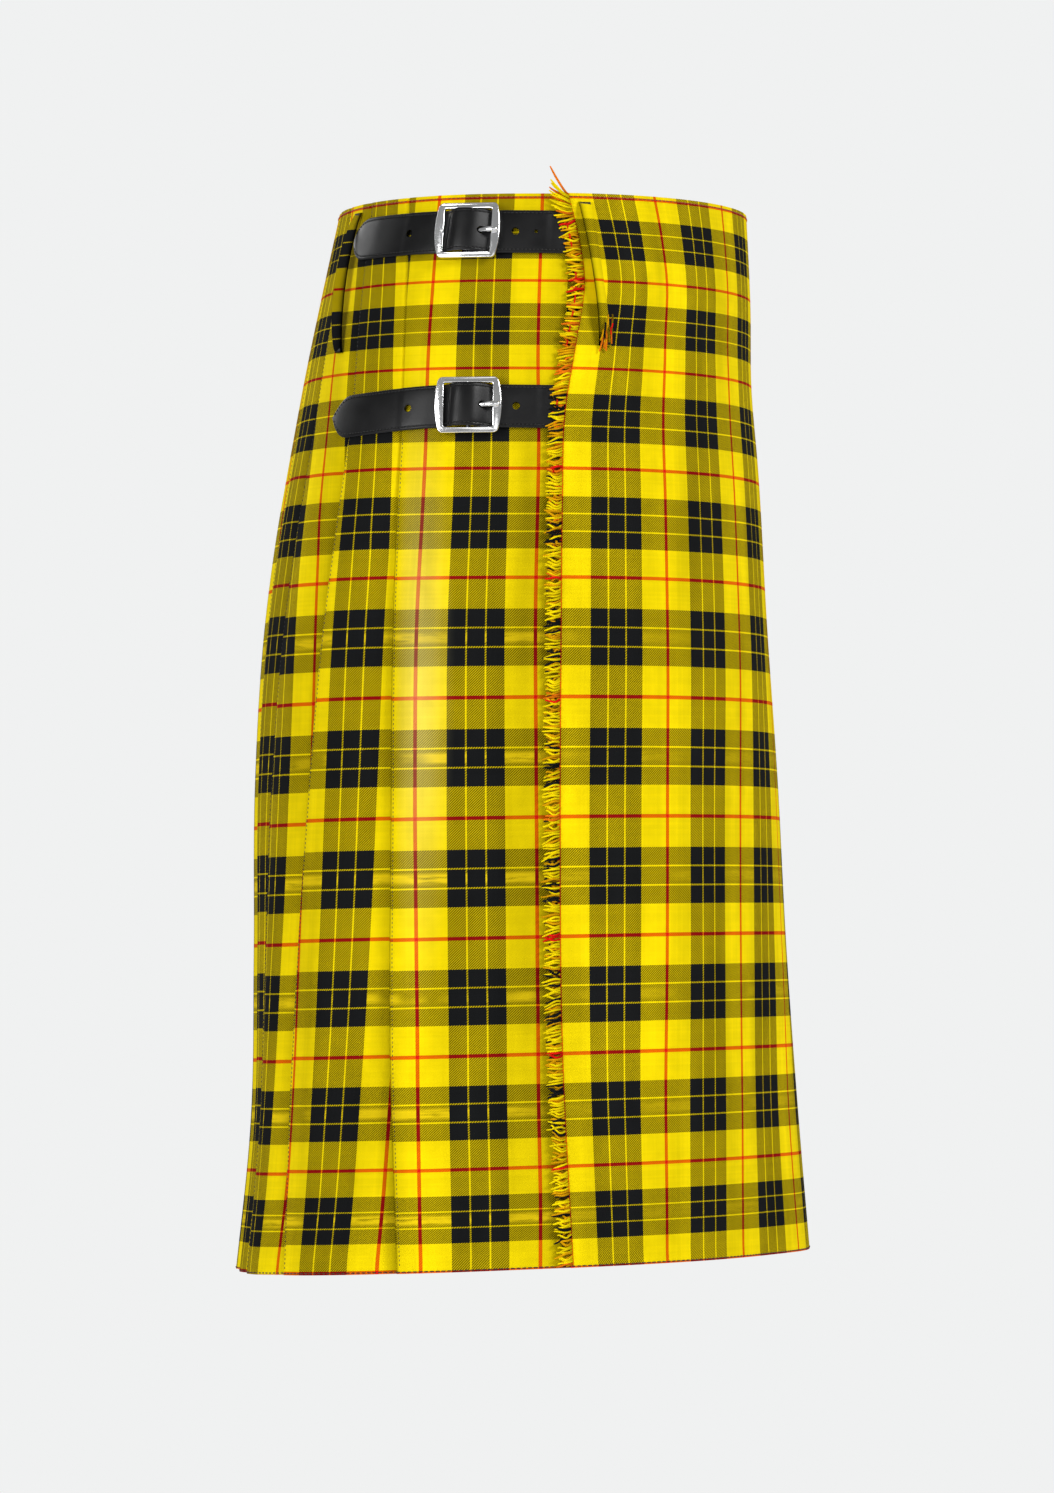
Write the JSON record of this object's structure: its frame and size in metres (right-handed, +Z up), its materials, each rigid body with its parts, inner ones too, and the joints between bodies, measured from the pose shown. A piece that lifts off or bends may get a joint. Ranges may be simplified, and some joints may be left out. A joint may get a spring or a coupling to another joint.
{
  "type": "scottish kilt",
  "caption": "Worn kilt of checked wool with overlapping front aprons, a fringed apron edge, a knife-pleated back, belt loops and leather straps in steel buckles.",
  "frame": {"origin": "middle of the waist, level with the upper straps, where the wearer holds the kilt", "axes": "+Z up, towards the waist's edge; the wearer faces -Y and the wearer's right side is at -X"},
  "size_m": [0.4173, 0.351, 0.6567],
  "materials": {
    "tartan": "yellow, black and red checked wool twill",
    "fringe": "loose wool yarn ends",
    "leather": "black, semi-gloss, stitched edges",
    "buckle": "polished, slightly worn"
  },
  "bodies": {
    "root": {"outer_apron": "tartan", "under_apron": "tartan", "pleated_back": "tartan", "apron_fringe": "fringe", "loop_front_right": "tartan", "loop_front_left": "tartan", "loop_back_right": "tartan", "loop_back_left": "tartan", "strap_right_upper": "leather", "chape_right_upper": "leather", "buckle_right_upper": "buckle", "prong_right_upper": "buckle", "strap_right_lower": "leather", "chape_right_lower": "leather", "buckle_right_lower": "buckle", "prong_right_lower": "buckle", "strap_left_upper": "leather", "chape_left_upper": "leather", "buckle_left_upper": "buckle", "prong_left_upper": "buckle"}
  },
  "joints": []
}
